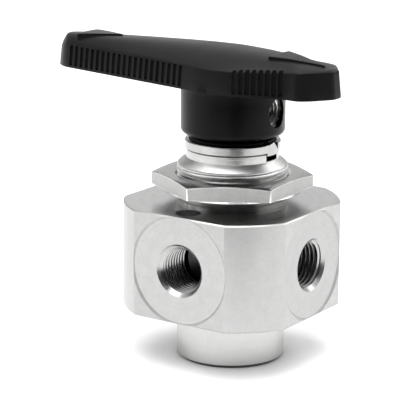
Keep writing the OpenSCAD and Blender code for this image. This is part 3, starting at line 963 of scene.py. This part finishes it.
def sealPlastic(name, spec):
    material, tree, shader, place = startMaterial(name, {
        "Metallic": 0.0, "Subsurface Weight": spec["sub"], "Subsurface Scale": 0.001,
    })
    grain = useGroup(tree, surfaceGrain, Vector=place, Scale=2600.0, Cloud_Scale=240.0)
    marks = useGroup(tree, toolMarks, Across=acrossLines(tree, place, "height"), Vector=place, Spacing=0.2)
    rough = rangeNode(tree, marks["Lines"], 0.0, 1.0, spec["rough"] - 0.08, spec["rough"] + 0.08)
    feed(tree, mixColour(tree, grain["Cloud"], spec["shade"], spec["colour"]), shader.inputs["Base Color"])
    feed(tree, rough, shader.inputs["Roughness"])
    feed(tree, bumpNormal(tree, marks["Lines"], 0.12, 0.00005), shader.inputs["Normal"])
    return material


plastic = {name: sealPlastic(name, spec) for name, spec in plasticLooks.items()}
print("materials made")


# finishes on the pieces
def paint(obj, materials, pick=None):
    # pick names one of the materials from a face's middle and normal, in millimetres
    order = {}
    obj.data.materials.clear()
    for m in materials:
        order[m.name] = len(order)
        obj.data.materials.append(m)
    for p in obj.data.polygons:
        p.material_index = order[pick(p.center / mm, p.normal)] if pick else 0


finishZones = {  # what parts the finishes, beside the radii and heights of valveSizes and nutSizes
    "nearStem": 9.0,  # the body's hollow lies inside this radius
    "band": 9.35, "neckCone": 10.3, "neckThread": 10.4,
    "threadEnd": 0.42, "coneBelow": 0.75, "coneAbove": 0.75,  # from the top of the neck's thread
    "overBlock": 0.3,
    "holeFrom": 11.5, "holeInside": 1.0, "holeBottom": 27.2,
    "portRadius": 6.0, "portCrest": 4.36, "portFrom": 8.0, "portBottom": 11.0,
    "stubTop": 10.9, "stubChamfer": 0.75,
    "flatFrom": 18.0,
    "hair": 0.01,  # what a face's middle may miss its plane by
    "level": 0.9, "square": 0.98,  # how nearly a normal runs along an axis
    "nutBore": 0.64, "nutCornerWornAndGlint": 0.13, "nutSlope": 0.6,
}


def faceFinish(c, n, across):
    # the block's top, flats, faced circles and turned sides
    v, z = valveSizes, finishZones
    faced = v["facedRadius"] + 0.05
    if abs(n.z) > z["level"]:
        return "bodyTop"
    if abs(n.x) > z["square"] and abs(c.x) > z["flatFrom"]:
        # the +X faced circle is painted darker as shade
        return "bodyFacedXPaintedShade" if c.x > 0 and across["x"] < faced else "bodyFlat"
    if abs(n.y) > z["square"] and abs(c.y) > z["flatFrom"]:
        return "bodyFacedY" if c.y < 0 and across["y"] < faced else "bodyFlat"
    inwards = c.z * n.z - v["portHeight"] * n.z + (n.x * c.x if abs(n.y) > abs(n.x) else n.y * c.y)
    if 0.8 < max(abs(n.x), abs(n.y)) < 0.95 and inwards < 0:
        return "spotWall"  # the sloped wall of a faced circle looks towards the port
    return "bodyTurned"


def bodyFinish(c, n):
    v, z = valveSizes, finishZones
    radius = math.hypot(c.x, c.y)
    across = {"x": math.hypot(c.y, c.z - v["portHeight"]), "y": math.hypot(c.x, c.z - v["portHeight"])}
    nearest = min(across.values())
    blockTop, threadTop = v["blockTop"], v["neckThreadTop"]
    if c.z > threadTop - z["threadEnd"] and radius > z["nearStem"]:
        return "coneTurned" if c.z < threadTop + z["coneAbove"] and radius > z["band"] else "neckTurned"
    if radius > z["neckCone"] and n.z > 0.25 and c.z > threadTop - z["coneBelow"]:
        return "coneTurned"
    if radius > z["neckThread"] and blockTop + z["overBlock"] < c.z <= threadTop - z["threadEnd"]:
        # below the nut the thread is painted darker as shade
        return "threadCut" if c.z > nutSizes["bottom"] else "threadShade"
    if z["holeFrom"] < radius < v["flat"] - z["holeInside"] and z["holeBottom"] < c.z < blockTop - 0.05:
        return "holeDrilled"  # the locating hole
    inPort = nearest < z["portRadius"] and z["portFrom"] < radius < v["flat"] - v["facedDepth"] - z["hair"]
    if inPort and z["portBottom"] < c.z < blockTop - 0.1:
        if nearest > z["portCrest"]:
            return "portRim"
        # deeper in, the port is painted near-black as shade
        return "portThread" if radius > v["litDepth"] else "paintedDeepShade"
    if c.z < z["hair"] and n.z < -z["level"]:
        return "stubTurnedPaintedLight"  # the flat end of the stub
    # painted shade: the body's hollow, the bottom port and the chamfer at the stub's end
    if radius < z["nearStem"] or (c.z < z["stubChamfer"] and n.z < -0.3):
        return "paintedDeepShade"
    # the stub gets the lighter painted copy of the turned finish
    return "stubTurnedPaintedLight" if c.z < z["stubTop"] else faceFinish(c, n, across)


def nutFinish(c, n):
    z = finishZones
    radius = math.hypot(c.x, c.y)
    if radius < nutSizes["boreRadius"] + z["nutBore"] and abs(n.z) < z["level"]:
        return "threadCut"
    # the underside is painted dark as shade
    if n.z < -z["nutSlope"]:
        return "nutUnderPaintedShade"
    if c.z < nutSizes["bottom"] + nutSizes["seatHeight"] + z["hair"]:
        return "nutSeat"
    # rounded corners get the near-white finish: wear and a painted glint
    if radius > nutSizes["acrossFlats"] / 2 / math.cos(math.pi / 6) - z["nutCornerWornAndGlint"]:
        return "nutCornerWornAndGlint"
    return "nutTop" if n.z > z["nutSlope"] else "nutSide"


bodyLooks = ["bodyTurned", "bodyFlat", "bodyFacedXPaintedShade", "bodyFacedY", "bodyTop", "neckTurned", "threadCut",
             "stubTurnedPaintedLight", "holeDrilled", "portThread", "portRim", "spotWall", "paintedDeepShade", "coneTurned",
             "threadShade"]
nutLooks = ["nutSide", "nutTop", "threadCut", "nutSeat", "nutUnderPaintedShade", "nutCornerWornAndGlint"]
innerPieces = [  # the CAD shape of each shows, with its own finish
    (steel["ringTurned"], ["stop_ring"]), (steel["blackOxide"], ["set_screw"]),
    (plastic["tanPeek"], ["stem_bearing"]),
    (plastic["whitePtfe"], ["ball_packing", "lower_chevron", "upper_chevron"]),
    (steel["innerTurned"], ["stop_pin", "ball_stem", "grounding_spring", "packing_bolt", "upper_gland",
                            "lower_gland", "packing_springs", "bottom_disc", "side_rings", "side_discs"]),
]
paint(valveBody, [steel[k] for k in bodyLooks], bodyFinish)
paint(panelNut, [steel[k] for k in nutLooks], nutFinish)
paint(handleGrip, [mouldedNylon()])
paint(tappedInsert, [steel["insertMetal"]])
for material, pieces in innerPieces:
    for piece in pieces:
        paint(nodes[piece], [material])
print("finishes set")


# floor, light and camera
stageLook = {
    "floorSize": 6.0,
    "floorColour": (0.92, 0.92, 0.92),
    "worldTop": 1.0,
    "worldSide": 0.85,
    "worldFront": 0.1,
    "worldGrey": 0.5,
    "darkSide": (0.563, -0.826, 0.0),  # the room is dark on this side
    "darkFrom": 0.0, "darkFull": 0.75,
    "greySide": (0.553, 0.833, 0.0),  # and a little grey on this one
    "greyFrom": 0.3, "greyFull": 0.9,
    "topFrom": 0.35, "topFull": 0.8,
    "flags": [  # black cards in front, seen only in reflections: distance, width, height, turned aside
        (0.2, 0.6, 0.35, 0.0),
        (0.15, 0.08, 0.2, 0.12),
    ],
    "lights": [  # name, place, size, power, aimed at, seen in reflections
        ("keyBox", (-0.06, -0.15, 1.05), 1.0, 9.0, (0, 0, 0.03), True),
        ("backBox", (0.35, 0.8, 0.8), 0.6, 3.0, (0, 0, 0.03), True),
        ("floorFill", (0.3, -0.5, 0.62), 0.6, 4.6, (0, -0.03, 0), False),
    ],
}


def makeFloor():
    s = stageLook
    half = s["floorSize"] / 2
    corners = [(-half, -half, 0), (half, -half, 0), (half, half, 0), (-half, half, 0)]
    floor = newObject("floor", meshFrom("floor", corners, [(0, 1, 2, 3)]))
    material, tree, shader, place = startMaterial("paleFloor", {"Roughness": 0.75, "Specular IOR Level": 0.2})
    cloud = useGroup(tree, surfaceGrain, Vector=place, Scale=400.0, Cloud_Scale=6.0)["Cloud"]
    shade = tuple(c * 0.99 for c in s["floorColour"])
    feed(tree, mixColour(tree, cloud, shade, s["floorColour"]), shader.inputs["Base Color"])
    floor.data.materials.append(material)


def makeLights():
    for name, at, size, power, aim, reflected in stageLook["lights"]:
        lamp = bpy.data.lights.new(name, "AREA")
        lamp.shape = "SQUARE"
        lamp.size = size
        lamp.energy = power
        holder = newObject(name, lamp)
        holder.location = at
        holder.visible_glossy = reflected
        holder.rotation_mode = "QUATERNION"
        holder.rotation_quaternion = (Vector(aim) - Vector(at)).to_track_quat("-Z", "Y")


def makeCards():
    black = startMaterial("blackCard", {
        "Base Color": (0.01, 0.01, 0.01, 1), "Roughness": 0.9, "Specular IOR Level": 0.0,
    })[0]
    for number, (distance, width, height, aside) in enumerate(stageLook["flags"], 1):
        front = Matrix.Rotation(aside, 3, "Z") @ Vector(stageLook["darkSide"])
        beside = Vector((-front.y, front.x, 0)) * width / 2
        foot, lift = front * distance, Vector((0, 0, height))
        label = f"blackFlag{number}"
        corners = [foot - beside, foot + beside, foot + beside + lift, foot - beside + lift]
        card = newObject(label, meshFrom(label, corners, [(0, 1, 2, 3)]))
        card.data.materials.append(black)
        card.visible_camera = card.visible_shadow = card.visible_diffuse = False


def makeWorld():
    s = stageLook
    world = bpy.data.worlds.new("studio")
    bpy.context.scene.world = world
    world.use_nodes = True
    tree = world.node_tree
    back = tree.nodes["Background"]
    back.inputs["Color"].default_value = (1, 1, 1, 1)
    way = tree.nodes.new("ShaderNodeTexCoord").outputs["Generated"]
    ahead, beyond = dotNode(tree, way, s["darkSide"]), dotNode(tree, way, s["greySide"])
    side = rangeNode(tree, beyond, s["greyFrom"], s["greyFull"], s["worldSide"], s["worldGrey"])
    around = rangeNode(tree, ahead, s["darkFrom"], s["darkFull"], side, s["worldFront"])
    level = rangeNode(tree, splitNode(tree, way)["Z"], s["topFrom"], s["topFull"], around, s["worldTop"])
    tree.links.new(level, back.inputs["Strength"])


cameraSetup = {"azimuth": 33.58, "elevation": 14.1, "roll": -0.49, "aimHeight": 31.94, "aimAside": -6.42,
               "distance": 421.9, "lens": 189.4}


def makeCamera():
    c = cameraSetup
    a, e = math.radians(c["azimuth"]), math.radians(c["elevation"])
    back = Vector((math.sin(a) * math.cos(e), -math.cos(a) * math.cos(e), math.sin(e)))
    right = Vector((math.cos(a), math.sin(a), 0))
    target = (Vector((0, 0, c["aimHeight"])) + right * c["aimAside"]) * mm
    level = back.cross(right)
    data = bpy.data.cameras.new("camera")
    data.lens = c["lens"]
    data.sensor_width = 36
    data.clip_start = 0.01
    camera = newObject("camera", data)
    camera.location = target + back * c["distance"] * mm
    lean = math.radians(c["roll"])
    up = level * math.cos(lean) + right * math.sin(lean)
    right = right * math.cos(lean) - level * math.sin(lean)
    rows = list(zip(right, up, back, camera.location))
    camera.matrix_world = Matrix(rows + [(0, 0, 0, 1)])
    bpy.context.scene.camera = camera


makeFloor()
makeLights()
makeCards()
makeWorld()
makeCamera()
bpy.context.scene.view_settings.view_transform = "Standard"
print("stage ready")
